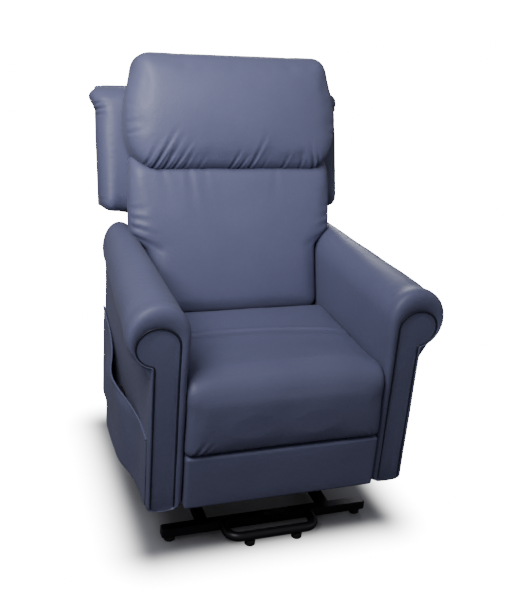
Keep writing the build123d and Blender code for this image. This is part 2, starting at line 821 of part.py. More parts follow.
with BuildPart() as back_panel:
    with BuildSketch(back_plane(back_thickness)):
        with BuildLine():
            Polyline(
                (-lumbar_half_width, -back_tail),
                (lumbar_half_width, -back_tail),
                (lumbar_half_width, lumbar_neck_rise),
                (wing_half_width, wing_rise),
                (wing_half_width, back_rise),
                (-wing_half_width, back_rise),
                (-wing_half_width, wing_rise),
                (-lumbar_half_width, lumbar_neck_rise),
                close=True,
            )
        make_face()
    extrude(amount=back_skin)
    with BuildSketch(back_plane(back_thickness - back_skin)):
        with Locations((0, back_rise - 7)):
            Rectangle(2 * (wing_inner - gap), 14)
    extrude(amount=back_thickness - back_skin - upright_depth)
save(back_panel, "back_panel")

# --- Handset standing in the side pocket, with four buttons on its outer face -----------------
handset_x = -arm_outer - 3 - handset_thickness
handset_y = arm_front + handset_from_front
handset_z = pocket_bottom + pocket_wall + gap
button_spots = [(handset_y + j * button_pitch_y / 2, handset_z + handset_length - 35 - i * button_pitch_z)
                for i in range(2) for j in (-1, 1)]
button_depth = 4
with BuildPart() as handset:
    with BuildSketch(Plane.YZ.offset(handset_x)):
        with Locations((handset_y, handset_z + handset_length / 2)):
            RectangleRounded(handset_width, handset_length, 12)
    extrude(amount=handset_thickness)
    fillet(handset.faces().sort_by(Axis.X)[-1].edges(), 4)
    with BuildSketch(Plane.YZ.offset(handset_x)):
        with Locations(*button_spots):
            Circle(button_radius + 0.3)
    extrude(amount=button_depth + button_travel + 0.4, mode=Mode.SUBTRACT)
save(handset, "handset")

button_names = ("button_back_up", "button_back_down", "button_legs_up", "button_legs_down")
for name, spot in zip(button_names, button_spots):
    with BuildPart() as button:
        with BuildSketch(Plane.YZ.offset(handset_x - button_height)):
            with Locations(spot):
                Circle(button_radius)
        extrude(amount=button_height + button_depth)
    save(button, name)
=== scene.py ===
import json
import math

import bpy
import numpy as np
from mathutils import Matrix, Vector


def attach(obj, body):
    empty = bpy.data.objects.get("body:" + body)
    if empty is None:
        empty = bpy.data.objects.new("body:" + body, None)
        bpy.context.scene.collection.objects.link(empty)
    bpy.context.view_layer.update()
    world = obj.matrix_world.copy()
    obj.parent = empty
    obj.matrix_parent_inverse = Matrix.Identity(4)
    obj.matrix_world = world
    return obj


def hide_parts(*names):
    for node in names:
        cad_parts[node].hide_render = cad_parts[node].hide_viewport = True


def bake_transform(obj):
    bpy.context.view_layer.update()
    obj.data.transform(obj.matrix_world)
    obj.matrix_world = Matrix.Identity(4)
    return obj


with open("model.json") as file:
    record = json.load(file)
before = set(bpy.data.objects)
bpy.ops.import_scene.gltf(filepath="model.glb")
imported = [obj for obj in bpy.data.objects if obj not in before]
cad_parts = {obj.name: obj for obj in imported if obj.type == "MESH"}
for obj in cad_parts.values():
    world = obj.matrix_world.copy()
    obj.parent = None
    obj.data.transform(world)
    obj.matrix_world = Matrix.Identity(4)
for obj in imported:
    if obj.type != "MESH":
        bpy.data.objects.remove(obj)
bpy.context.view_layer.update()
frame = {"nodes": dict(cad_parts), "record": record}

# --- Floor, light and camera ------------------------------------------------------------------
# A studio sweep: a very large pale floor that reads as white paper. A soft box high on the sitter's
# right and a round lamp on the cushions light it, with a weak fill in front and a box behind.
scene = bpy.context.scene


def linear(colour):
    """An sRGB hex colour as linear red, green, blue and alpha."""
    parts = [int(colour[i:i + 2], 16) / 255 for i in (1, 3, 5)]
    return tuple(c / 12.92 if c <= 0.04045 else ((c + 0.055) / 1.055) ** 2.4 for c in parts) + (1.0,)


def node(tree, kind, settings=None, **links):
    """Adds a node to tree. settings holds its properties and input values, links its linked inputs."""
    made = tree.nodes.new(kind)
    for key, value in (settings or {}).items():
        if isinstance(key, int) or key in made.inputs:
            made.inputs[key].default_value = value
        else:
            setattr(made, key, value)
    for key, source in links.items():
        slot = int(key[1:]) if key[0] == "i" and key[1:].isdigit() else key.replace("_", " ")
        tree.links.new(source, made.inputs[slot])
    return made


def material(name):
    """An empty material and its node tree."""
    made = bpy.data.materials.new(name)
    made.use_nodes = True
    made.node_tree.nodes.clear()
    return made, made.node_tree


def nothing_selected():
    if bpy.context.mode != "OBJECT":
        bpy.ops.object.mode_set(mode="OBJECT")
    bpy.ops.object.select_all(action="DESELECT")


floor_size = 90.0
floor_glow = 20.0
shadow_half = (0.31, 0.31)
shadow_centre = (0.0, -0.04)
shadow_blur = 0.21
shadow_falloff = 1.6

nothing_selected()
bpy.ops.mesh.primitive_plane_add(size=floor_size, location=(0, 0, 0))
floor = bpy.context.object
floor.name = "studio_floor"
# Matt white paper: to the eye it is brighter than the light it gives back to the chair.
paper, tree = material("matt_white_paper")
output = node(tree, "ShaderNodeOutputMaterial")
# Painted shadow: the sweep's glow is painted darkest where the body hangs low over it.
on_paper = node(tree, "ShaderNodeTexCoord")
offset = node(tree, "ShaderNodeMapping", {"Location": (-shadow_centre[0], -shadow_centre[1], 0)},
              Vector=on_paper.outputs["Object"])
size = node(tree, "ShaderNodeVectorMath", {"operation": "ABSOLUTE"}, i0=offset.outputs[0])
beyond = node(tree, "ShaderNodeVectorMath", {"operation": "SUBTRACT", 1: (*shadow_half, 0)},
              i0=size.outputs[0])
past_edge = node(tree, "ShaderNodeVectorMath", {"operation": "MAXIMUM", 1: (0, 0, 0)},
                 i0=beyond.outputs[0])
gap = node(tree, "ShaderNodeVectorMath", {"operation": "LENGTH"}, i0=past_edge.outputs[0])
shade = node(tree, "ShaderNodeMapRange", {"interpolation_type": "SMOOTHERSTEP", "From Min": -0.02,
                                          "From Max": shadow_blur, "To Min": 0.0, "To Max": 1.0},
             Value=gap.outputs["Value"])
darkened = node(tree, "ShaderNodeMath", {"operation": "POWER", 1: shadow_falloff}, i0=shade.outputs[0])
bright = node(tree, "ShaderNodeMath", {"operation": "MULTIPLY", 1: floor_glow}, i0=darkened.outputs[0])
glow = node(tree, "ShaderNodeEmission", {"Color": (1, 1, 1, 1)}, Strength=bright.outputs[0])
own = node(tree, "ShaderNodeBsdfDiffuse", {"Color": (0.30, 0.30, 0.31, 1)})
seen = node(tree, "ShaderNodeAddShader", {}, i0=glow.outputs[0], i1=own.outputs[0])
given = node(tree, "ShaderNodeBsdfDiffuse", {"Color": linear("#55555a")})
path = node(tree, "ShaderNodeLightPath")
mixed = node(tree, "ShaderNodeMixShader", i0=path.outputs["Is Camera Ray"],
             i1=given.outputs[0], i2=seen.outputs[0])
tree.links.new(mixed.outputs[0], output.inputs["Surface"])
floor.data.materials.append(paper)

backdrop_glow = 18.0
room_fill = 0.21
world = bpy.data.worlds.new("studio")
scene.world = world
world.use_nodes = True
tree = world.node_tree
tree.nodes.clear()
output = node(tree, "ShaderNodeOutputWorld")
backdrop = node(tree, "ShaderNodeBackground", {"Color": (1, 1, 1, 1), "Strength": backdrop_glow})
fill = node(tree, "ShaderNodeBackground", {"Color": linear("#f6f6ff"), "Strength": room_fill})
path = node(tree, "ShaderNodeLightPath")
mixed = node(tree, "ShaderNodeMixShader", i0=path.outputs["Is Camera Ray"],
             i1=fill.outputs[0], i2=backdrop.outputs[0])
tree.links.new(mixed.outputs[0], output.inputs["Surface"])


def hang(lamp, power, colour, place, target):
    """Puts a lamp into the scene at place, pointed at target."""
    lamp.energy = power
    lamp.color = linear(colour)[:3]
    holder = bpy.data.objects.new(lamp.name, lamp)
    scene.collection.objects.link(holder)
    holder.location = place
    holder.rotation_euler = (Vector(target) - Vector(place)).to_track_quat("-Z", "Y").to_euler()


def soft_box(name, place, target, size, power, colour):
    """A round studio soft box, size metres across."""
    lamp = bpy.data.lights.new(name, "AREA")
    lamp.shape = "DISK"
    lamp.size = size
    hang(lamp, power, colour, place, target)


lamp_white = "#f6f6ff"
soft_box("key_soft_box", (-1.15, -1.0, 2.35), (0.0, 0.1, 0.95), 1.2, 35, lamp_white)
soft_box("fill_soft_box", (2.4, -1.8, 1.9), (0.1, 0.0, 0.6), 1.8, 3.5, "#e8ecff")

# A soft round lamp whose edge fades out, on the upper part of the chair.
upper_lamp = bpy.data.lights.new("upper_soft_lamp", "SPOT")
upper_lamp.shadow_soft_size = 0.35
upper_lamp.spot_size = math.radians(40)
upper_lamp.spot_blend = 1.0
hang(upper_lamp, 122, lamp_white, (-1.20, -1.40, 1.80), (-0.14, 0.1, 1.08))

soft_box("rear_soft_box", (1.1, 2.9, 1.5), (0.0, 0.2, 0.7), 1.6, 42, "#f4f6ff")

eye_place = (-0.72300, -2.05886, 1.40972)
eye_yaw, eye_pitch, eye_roll = -0.35419, -0.38461, 0.07998
eye_lens = 50.69

ahead = Vector((-math.sin(eye_yaw) * math.cos(eye_pitch), math.cos(eye_yaw) * math.cos(eye_pitch),
                math.sin(eye_pitch)))
level = Vector((math.cos(eye_yaw), math.sin(eye_yaw), 0))
upward = level.cross(ahead)
right = level * math.cos(eye_roll) + upward * math.sin(eye_roll)
top = upward * math.cos(eye_roll) - level * math.sin(eye_roll)
camera_data = bpy.data.cameras.new("camera")
camera_data.lens = eye_lens
camera_data.sensor_width = 36.0
camera = bpy.data.objects.new("camera", camera_data)
scene.collection.objects.link(camera)
camera.matrix_world = Matrix(((right.x, top.x, -ahead.x, eye_place[0]),
                              (right.y, top.y, -ahead.y, eye_place[1]),
                              (right.z, top.z, -ahead.z, eye_place[2]), (0, 0, 0, 1)))
scene.camera = camera

# --- Metal, plastic, rubber, webbing and board: the frame under the upholstery ------------------
# Welded steel tube and plate in satin black powder coat, bright drawn actuator rods, moulded
# plastic housings, rubber feet, woven straps and a plywood footrest board. The CAD nodes show.


def pattern(tree, kind, scale, **settings):
    """A pattern node on the piece's own metres, scale times a metre."""
    place = node(tree, "ShaderNodeTexCoord")
    sized = node(tree, "ShaderNodeMapping", {"Scale": scale if isinstance(scale, tuple) else (scale,) * 3},
                 Vector=place.outputs["Object"])
    return node(tree, kind, settings, Vector=sized.outputs[0])


def finish_material(name, low, high, mottle, rough, rough_spread, bump, grain, metallic=0.0, **shader):
    """A surface whose colour wanders between two tones, with uneven gloss and a fine grain.
    mottle and grain are pattern sizes in mm, bump is the grain's height in mm."""
    made, tree = material(name)
    output = node(tree, "ShaderNodeOutputMaterial")
    patch = pattern(tree, "ShaderNodeTexNoise", 1000 / mottle, Scale=1.0, Detail=3.0, Roughness=0.55)
    tone = node(tree, "ShaderNodeMix", {"data_type": "RGBA", 6: linear(low), 7: linear(high)},
                i0=patch.outputs["Fac"])
    gloss = node(tree, "ShaderNodeMapRange",
                 {"To Min": rough - rough_spread, "To Max": rough + rough_spread},
                 Value=patch.outputs["Fac"])
    fine = pattern(tree, "ShaderNodeTexNoise", 1000 / grain, Scale=1.0, Detail=2.0, Roughness=0.6)
    raised = node(tree, "ShaderNodeBump", {"Strength": 0.6, "Distance": bump / 1000},
                  Height=fine.outputs["Fac"])
    skin = node(tree, "ShaderNodeBsdfPrincipled", {"Metallic": metallic, **shader},
                Base_Color=tone.outputs[2], Roughness=gloss.outputs[0], Normal=raised.outputs[0])
    tree.links.new(skin.outputs[0], output.inputs["Surface"])
    return made


# Satin powder coat on mild steel: near black, slight orange peel about 1.5 mm across.
powder_coat = finish_material("satin_black_powder_coat", "#101012", "#18181b", 60, 0.38, 0.06, 0.08, 1.8)
# Drawn bright steel: fine scratches along the rod, mild waviness in gloss.
drawn_steel = finish_material("drawn_bright_steel", "#a7a9ac", "#c3c5c8", 20, 0.26, 0.06, 0.02, 0.8,
                              metallic=1.0)
# Glass-filled nylon housings: matt charcoal with a spark-eroded mould texture.
housing_nylon = finish_material("moulded_nylon_housing", "#202123", "#2a2b2e", 45, 0.52, 0.05, 0.05, 1.2)
# ABS for the handset, control box and end caps: black, a little glossier.
black_abs = finish_material("moulded_black_abs", "#131315", "#1c1c1f", 50, 0.42, 0.05, 0.04, 1.0)
# Solid rubber feet: dull, slightly dusty black.
foot_rubber = finish_material("moulded_black_rubber", "#121212", "#1d1d1d", 25, 0.72, 0.06, 0.06, 1.6)
# Silicone key tops: mid grey, dull, with a faint sheen from handling.
key_rubber = finish_material("silicone_rubber_keys", "#777c84", "#8b9099", 12, 0.58, 0.06, 0.02, 0.9)

# Elastic upholstery webbing: black yarn, ribs across the strap drawn at 4 mm instead of 1.5 mm.
webbing, tree = material("woven_elastic_webbing")
output = node(tree, "ShaderNodeOutputMaterial")
ribs = pattern(tree, "ShaderNodeTexWave", 1000 / 4.0, bands_direction="Y", Scale=0.16,
               Distortion=0.6, Detail=1.0)
yarn = pattern(tree, "ShaderNodeTexNoise", 1000 / 3.0, Scale=1.0, Detail=2.0)
tone = node(tree, "ShaderNodeMix", {"data_type": "RGBA", 6: linear("#1b1c20"), 7: linear("#383a41")},
            i0=ribs.outputs["Fac"])
raised = node(tree, "ShaderNodeBump", {"Strength": 0.7, "Distance": 0.0006}, Height=ribs.outputs["Fac"])
gloss = node(tree, "ShaderNodeMapRange", {"To Min": 0.7, "To Max": 0.85}, Value=yarn.outputs["Fac"])
skin = node(tree, "ShaderNodeBsdfPrincipled", {"Sheen Weight": 0.2}, Base_Color=tone.outputs[2],
            Roughness=gloss.outputs[0], Normal=raised.outputs[0])
tree.links.new(skin.outputs[0], output.inputs["Surface"])

# Birch plywood: pale face veneer with long straight grain, growth lines about 5 mm apart.
birch_ply, tree = material("birch_plywood")
output = node(tree, "ShaderNodeOutputMaterial")
grain = pattern(tree, "ShaderNodeTexNoise", (12.0, 200.0, 200.0), Scale=1.0, Detail=4.0, Distortion=0.4)
tone = node(tree, "ShaderNodeMix", {"data_type": "RGBA", 6: linear("#a98a62"), 7: linear("#cdb38c")},
            i0=grain.outputs["Fac"])
raised = node(tree, "ShaderNodeBump", {"Strength": 0.4, "Distance": 0.0003}, Height=grain.outputs["Fac"])
skin = node(tree, "ShaderNodeBsdfPrincipled", {"Roughness": 0.62}, Base_Color=tone.outputs[2],
            Normal=raised.outputs[0])
tree.links.new(skin.outputs[0], output.inputs["Surface"])

slot_finish = {"black_steel": powder_coat, "rod_steel": drawn_steel, "actuator_housing": housing_nylon,
               "black_plastic": black_abs, "foot_rubber": foot_rubber, "button_rubber": key_rubber,
               "strap_fabric": webbing, "board": birch_ply}

# --- Leather ----------------------------------------------------------------------------------
# Corrected-grain cattle hide in slate blue: dyed through, lightly pigmented, with a satin top
# coat. Fine pebble grain of about 1 mm, drawn at 2.2 mm so that it shows.


def leather(name, low, high, crease):
    """Hide between two tones, with painted shade: the crease colour is mixed in where the surface is
    hollow.
    """
    made, tree = material(name)
    output = node(tree, "ShaderNodeOutputMaterial")
    cloud = pattern(tree, "ShaderNodeTexNoise", 1000 / 130, Scale=1.0, Detail=4.0, Roughness=0.6)
    fleck = pattern(tree, "ShaderNodeTexNoise", 1000 / 5.0, Scale=1.0, Detail=2.0)
    blend = node(tree, "ShaderNodeMix", {"data_type": "FLOAT", "Factor": 0.25},
                 i2=cloud.outputs["Fac"], i3=fleck.outputs["Fac"])
    base = node(tree, "ShaderNodeMix", {"data_type": "RGBA", 6: linear(low), 7: linear(high)},
                i0=blend.outputs[0])
    # Painted shade: where the surface is hollow, in folds and gathers, it is painted a shade darker
    # towards the crease colour.
    hollow = node(tree, "ShaderNodeNewGeometry")
    edge = node(tree, "ShaderNodeMapRange",
                {"From Min": 0.42, "From Max": 0.50, "To Min": 1.0, "To Max": 0.0},
                Value=hollow.outputs["Pointiness"])
    painted_hollow_shade = node(tree, "ShaderNodeMix", {"data_type": "RGBA", 7: linear(crease)},
                i0=edge.outputs[0], i6=base.outputs[2])
    gloss = node(tree, "ShaderNodeMapRange", {"To Min": 0.43, "To Max": 0.56}, Value=blend.outputs[0])
    pebble = pattern(tree, "ShaderNodeTexVoronoi", 1000 / 2.2, Scale=1.0, Randomness=1.0,
                     feature="SMOOTH_F1")
    wrinkle = pattern(tree, "ShaderNodeTexNoise", 1000 / 14.0, Scale=1.0, Detail=3.0, Distortion=0.8)
    small = node(tree, "ShaderNodeBump", {"Strength": 0.22, "Distance": 0.0004},
                 Height=pebble.outputs["Distance"])
    large = node(tree, "ShaderNodeBump", {"Strength": 0.5, "Distance": 0.0013},
                 Height=wrinkle.outputs["Fac"], Normal=small.outputs[0])
    skin = node(tree, "ShaderNodeBsdfPrincipled",
                {"Specular IOR Level": 0.38, "Coat Weight": 0.03, "Coat Roughness": 0.45,
                 "Sheen Weight": 0.06, "Sheen Roughness": 0.5},
                Base_Color=painted_hollow_shade.outputs[2], Roughness=gloss.outputs[0], Normal=large.outputs[0])
    tree.links.new(skin.outputs[0], output.inputs["Surface"])
    return made


# The last colour of each leather is painted shade for its hollows.
slate_leather = leather("corrected_grain_leather", "#60637e", "#6b6e8a", "#2b2d3d")
piping_leather = leather("leather_piping", "#1d1f2d", "#262938", "#12131c")

# --- Seat pad -----------------------------------------------------------------------------------
# One chaise pad of polyurethane foam and fibre in sewn leather. It runs over the seat, rolls over
# the front and is stapled under the footrest board.


def read(piece):
    """A mesh's points as an array."""
    points = np.empty(len(piece.data.vertices) * 3, np.float32)
    piece.data.vertices.foreach_get("co", points)
    return points.reshape(-1, 3).astype(float)


def read_normals(piece):
    """The normal at each of a mesh's points."""
    normals = np.empty(len(piece.data.vertices) * 3, np.float32)
    piece.data.vertices.foreach_get("normal", normals)
    return normals.reshape(-1, 3).astype(float)


def write(piece, points):
    """Puts a mesh's points where the array says."""
    piece.data.vertices.foreach_set("co", np.asarray(points, np.float32).ravel())
    piece.data.update()


def smoothstep(value, low, high):
    """0 below low, 1 above high, and a smooth rise between."""
    t = np.clip((value - low) / (high - low), 0, 1)
    return t * t * (3 - 2 * t)


def bump_at(value, centre, width):
    """1 at the centre, falling away over width on each side."""
    return np.exp(-((value - centre) / width) ** 2)


corner_crowding = 0.8


def cushion_block(name, half, radius, cuts=40):
    """A cube primitive subdivided in edit mode, its edges rounded to radius. Half sizes in metres."""
    nothing_selected()
    bpy.ops.mesh.primitive_cube_add(size=2, location=(0, 0, 0))
    piece = bpy.context.object
    piece.name = name
    piece.data.name = name
    bpy.ops.object.mode_set(mode="EDIT")
    bpy.ops.mesh.select_all(action="SELECT")
    bpy.ops.mesh.subdivide(number_cuts=cuts)
    bpy.ops.object.mode_set(mode="OBJECT")
    half = np.array(half)
    unit = read(piece)
    unit = np.sin(unit * math.pi / 2 * corner_crowding) / math.sin(math.pi / 2 * corner_crowding)
    points = unit * half
    core = np.clip(points, -(half - radius), half - radius)
    away = points - core
    length = np.linalg.norm(away, axis=1, keepdims=True)
    write(piece, core + away / np.maximum(length, 1e-9) * radius)
    return piece


cloth_voxel = 0.006
cloth_pressure = 4.0
cloth_frames = 20
inward_taken_off = 0.8
smoothing_passes = 10


def stuff(piece, cap):
    """Fills a piece as foam and fibre fill a cover: even voxels, cloth under pressure with no point
    moved further than cap, then one subdivision."""
    nothing_selected()
    piece.select_set(True)
    bpy.context.view_layer.objects.active = piece
    piece.data.remesh_voxel_size = cloth_voxel
    piece.data.remesh_voxel_adaptivity = 0
    bpy.ops.object.voxel_remesh()
    start = read(piece)
    cover = piece.modifiers.new("stuffing", "CLOTH")
    cover.settings.use_pressure = True
    cover.settings.uniform_pressure_force = cloth_pressure
    cover.settings.effector_weights.gravity = 0
    for step in range(1, cloth_frames + 1):
        scene.frame_set(step)
    evaluated = piece.evaluated_get(bpy.context.evaluated_depsgraph_get())
    full = np.array([v.co for v in evaluated.data.vertices], float)
    piece.modifiers.remove(cover)
    normals = read_normals(piece)
    move = full - start
    inward = np.minimum(0, np.sum(move * normals, axis=1, keepdims=True))
    move = move - inward_taken_off * inward * normals
    length = np.linalg.norm(move, axis=1, keepdims=True)
    write(piece, start + move / np.maximum(length, 1e-9) * cap * np.tanh(length / cap))
    scene.frame_set(1)
    bpy.ops.object.mode_set(mode="EDIT")
    bpy.ops.mesh.select_all(action="SELECT")
    bpy.ops.mesh.vertices_smooth(factor=0.5, repeat=smoothing_passes)
    bpy.ops.mesh.subdivide(number_cuts=1, smoothness=0)
    bpy.ops.mesh.vertices_smooth(factor=0.5, repeat=2)
    bpy.ops.object.mode_set(mode="OBJECT")
    bpy.ops.object.shade_smooth()


def push(piece, rule):
    """Moves each point along its normal by rule(points, normals), in metres."""
    normals = read_normals(piece)
    points = read(piece)
    write(piece, points + normals * rule(points, normals)[:, None])


def fold(across, along, start, lean, reach, width, depth, tuck=0.004):
    """A gather that leaves a seam (along = 0) at start, leans as it runs and dies out at reach."""
    side = (across - start - lean * along) / (width * (0.6 + 0.7 * np.clip(along / reach, 0, 1)))
    fade = np.clip(1 - along / reach, 0, 1) ** 1.3 * smoothstep(along, -tuck, tuck)
    return 0.74 * depth * fade * (0.55 * np.exp(-((side - 1.5) / 0.8) ** 2) - np.exp(-side ** 2)
                                  + 0.4 * np.exp(-((side + 1.5) / 0.8) ** 2))


def ripple(points, size, seed):
    """Slow unevenness of a hand-stuffed cover, -1 to 1, about size metres across."""
    angle = np.random.default_rng(seed).uniform(0, 2 * math.pi, (6, 3))
    total = 0
    for row in angle:
        way = np.array([math.cos(row[0]), math.sin(row[0]), math.cos(row[1])])
        total = total + np.sin(points @ way / size * 2 + row[2])
    return total / 6


def finish(piece, fill, *nodes, skin=None):
    """The piece's leather, and what it stands for."""
    piece.data.materials.clear()
    piece.data.materials.append(skin or slate_leather)
    if nodes:
        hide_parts(*nodes)


seat_half_width = 0.2525
seat_top = 0.4930
pad_rear = 0.026
bend_y, bend_z, bend_radius = -0.364, 0.4430, 0.050
pad_bottom = 0.2980
pad_thickness = 0.082
seat_run = pad_rear - bend_y
bend_run = bend_radius * math.pi / 2
front_run = bend_z - pad_bottom
pad_run = seat_run + bend_run + front_run

pad = cushion_block("seat_pad", (seat_half_width, pad_run / 2, 0.5), 0.0)
local = read(pad)
s = local[:, 1] + pad_run / 2
across = local[:, 0] / seat_half_width
height_in = local[:, 2] + 0.5
thick = pad_thickness - 0.030 * smoothstep(s, seat_run - 0.05, seat_run + bend_run)
thick = thick - 0.015 * bump_at(s, seat_run + 0.01, 0.06)
edge_u = np.clip((1 - np.abs(across)) * seat_half_width / 0.016, 0, 1)
edge_s = np.clip(np.minimum(s / 0.030, (pad_run - s) / 0.018), 0, 1)
round_off = np.sqrt(1 - (1 - edge_u) ** 2) * np.sqrt(1 - (1 - edge_s) ** 2)
swell = (0.008 * bump_at(s, seat_run - 0.005, 0.045) + 0.004 * bump_at(s, pad_run - 0.07, 0.05)
         + 0.004 * bump_at(s, 0.08, 0.07)) * (1 - across ** 4)
depth_in = thick * (1 - height_in) + (1 - round_off) * thick * 0.28 * (2 * height_in - 1)
rise_out = swell * height_in - depth_in
turn = np.clip((s - seat_run) / bend_radius, 0, math.pi / 2)
base_y = np.where(s < seat_run, pad_rear - s, bend_y - bend_radius * np.sin(turn))
base_z = np.where(s < seat_run, seat_top,
                  np.where(s < seat_run + bend_run, bend_z + bend_radius * np.cos(turn),
                           bend_z - (s - seat_run - bend_run)))
write(pad, np.stack([local[:, 0], base_y - np.sin(turn) * rise_out,
                     base_z + np.cos(turn) * rise_out], axis=1))
stuff(pad, 0.006)


def seat_marks(p, n):
    """The sitting crease and the tucks at the lower corners."""
    on_top = smoothstep(n[:, 2], 0.3, 0.8)
    share = p[:, 0] / seat_half_width
    bow = p[:, 1] + 0.142 + 0.030 * share ** 2 + 0.012 * share
    crease = on_top * (0.0036 * bump_at(bow, 0.0, 0.006) - 0.0045 * bump_at(bow, -0.016, 0.014)
                       - 0.0045 * bump_at(bow, -0.075, 0.05)) * (1 - (p[:, 0] / 0.26) ** 6)
    on_front = smoothstep(-n[:, 1], 0.3, 0.8)
    up = p[:, 2] - pad_bottom
    tucks = on_front * sum(
        fold(sign * p[:, 0], up, start, lean, reach, 0.007, deep)
        for sign, start, lean, reach, deep in
        ((-1, 0.236, -0.55, 0.06, 0.0045), (-1, 0.222, -0.8, 0.045, 0.0035),
         (-1, 0.205, -0.9, 0.03, 0.002),
         (1, 0.236, -0.5, 0.05, 0.0025), (1, 0.222, -0.8, 0.03, 0.0018)))
    return crease + tucks + 0.0012 * ripple(p, 0.05, 3)


push(pad, seat_marks)
points = read(pad)
flank = smoothstep(np.abs(points[:, 0]), 0.215, 0.250) * 0.0030 * np.sign(points[:, 0])
points[:, 0] = np.clip(points[:, 0] + flank, -0.2545, 0.2545)
points[:, 1] = np.clip(points[:, 1], -0.4225, 0.034)
write(pad, points)
finish(pad, 0.75, "seat_cushion", "footrest_pad")
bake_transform(pad)

# --- Backrest cushions ----------------------------------------------------------------------------
# The lumbar cushion and the loose-topped head cushion hang on the back frame. Each is a sewn
# leather case blown full of siliconised fibre, gathered at its seams.
back_foot_y, back_foot_z = 0.04112, 0.497
lean_sin, lean_cos = 0.258819, 0.965926


def on_back(across, rise, depth):
    """A point of the leaning back: across it, up it and into it."""
    return np.stack([across + 0 * rise, back_foot_y + rise * lean_sin + depth * lean_cos,
                     back_foot_z + rise * lean_cos - depth * lean_sin], axis=1)


def off_back(p):
    """Across and rise, on the leaning back, of points in space."""
    return p[:, 0], (p[:, 1] - back_foot_y) * lean_sin + (p[:, 2] - back_foot_z) * lean_cos


lumbar_low, lumbar_high = -0.032, 0.425
lumbar_narrow, lumbar_wide = 0.2535, 0.2980
lumbar_block = 0.28
lumbar = cushion_block("lumbar_case", (lumbar_block, 0.044, (lumbar_high - lumbar_low) / 2), 0.032)
local = read(lumbar)
rise = local[:, 2] + (lumbar_high + lumbar_low) / 2
half_width = lumbar_narrow + (lumbar_wide - lumbar_narrow) * smoothstep(rise, 0.150, 0.215)
half_width = half_width - 0.008 * smoothstep(rise, 0.33, 0.40)
across = local[:, 0] / lumbar_block
crown = 0.008 * (1 - across ** 4) * (1 - ((rise - 0.12) / 0.27) ** 4)
behind = 0.016 * smoothstep(rise, 0.375, 0.410)
write(lumbar, on_back(across * half_width, rise,
                      0.050 + behind + local[:, 1] - crown * (local[:, 1] < 0)))
stuff(lumbar, 0.008)


def lumbar_marks(p, n):
    """Gathers where the arms press the sides, and soft upright folds from the seam above."""
    x, up = off_back(p)
    facing = smoothstep(-n[:, 1], 0.2, 0.7)
    total = 0.0014 * ripple(p, 0.06, 8)
    for sign, strength in ((-1, 1.0), (1, 0.55)):
        side = 0.300 - sign * x
        for start, lean, reach, deep in ((0.205, 0.9, 0.12, 0.0050), (0.228, 0.6, 0.10, 0.0045),
                                          (0.250, 0.35, 0.075, 0.0035), (0.275, 0.2, 0.05, 0.0025),
                                          (0.180, 0.7, 0.08, 0.0030)):
            total = total + strength * fold(up, side, start, -lean * 0.6, reach, 0.009, deep)
    for start, lean, reach, deep in ((-0.135, 0.10, 0.20, 0.0024), (-0.09, 0.05, 0.14, 0.0016),
                                      (0.12, -0.08, 0.16, 0.0014), (-0.21, 0.15, 0.15, 0.0018)):
        total = total + fold(x, 0.385 - up, start, lean, reach, 0.016, deep, 0.03)
    return total * facing


push(lumbar, lumbar_marks)
finish(lumbar, 0.7, "lumbar_cushion")
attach(lumbar, "backrest")

head_low, head_high = 0.375, 0.687
head_widest = 0.304
head_half_depth = 0.058
head = cushion_block("head_case", (head_widest, head_half_depth, (head_high - head_low) / 2), 0.040)
local = read(head)
rise = local[:, 2] + (head_high + head_low) / 2
part = (rise - head_low) / (head_high - head_low)
bottom_round = 0.050 * np.clip(1 - part / 0.34, 0, 1) ** 2
top_round = 0.030 * smoothstep(part, 0.45, 1.0)
across = local[:, 0] / head_widest
rear_edge = np.clip(local[:, 1] / head_half_depth, 0, 1) ** 2
across = across * (1 + 0.034 * rear_edge)
rise = rise + 0.009 * rear_edge * smoothstep(part, 0.6, 1.0)
crown = (0.027 * (1 - np.abs(np.clip(across, -1, 1)) ** 2.3)
         * np.sin(np.clip(part, 0, 1) ** 1.15 * math.pi))
overhang = -0.006 * (1 - part)
write(head, on_back(across * (head_widest - bottom_round - top_round), rise,
                    0.034 + local[:, 1] + overhang - crown * (local[:, 1] < 0)))
stuff(head, 0.010)


def head_marks(p, n):
    """Gathers drawn up from the bottom seam, puckers at the side seams and the pulled top corner."""
    x, up = off_back(p)
    facing = smoothstep(-n[:, 1], 0.1, 0.6)
    above_seam = up - head_low
    total = 0.0016 * ripple(p, 0.07, 21)
    for start, lean, reach, width, deep in (
            (-0.236, 0.55, 0.125, 0.0075, 0.0075), (-0.205, 0.50, 0.10, 0.0075, 0.0060),
            (-0.178, 0.55, 0.09, 0.0070, 0.0050), (-0.150, 0.40, 0.07, 0.0070, 0.0035),
            (-0.110, 0.40, 0.05, 0.0070, 0.0025), (-0.020, 0.45, 0.065, 0.0065, 0.0055),
            (0.008, 0.45, 0.05, 0.0060, 0.0050), (0.036, 0.40, 0.11, 0.0075, 0.0055),
            (0.075, 0.30, 0.04, 0.0060, 0.0025), (0.135, 0.25, 0.06, 0.0070, 0.0040),
            (0.190, -0.10, 0.06, 0.0070, 0.0035), (0.232, -0.35, 0.09, 0.0075, 0.0055),
            (-0.262, 0.5, 0.09, 0.0075, 0.0045), (0.254, -0.5, 0.07, 0.0075, 0.0045)):
        total = total + fold(x, above_seam, start, lean, reach, width, deep)
    for sign in (-1, 1):
        side = 0.308 - sign * x
        for start, lean, reach, deep in ((0.47, 0.2, 0.06, 0.0030), (0.50, 0.1, 0.05, 0.0024),
                                          (0.55, -0.1, 0.04, 0.0020), (0.60, -0.2, 0.05, 0.0022)):
            total = total + fold(up, side, start, lean, reach, 0.008, deep)
    return total * facing


push(head, head_marks)
finish(head, 0.85, "head_cushion")
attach(head, "backrest")

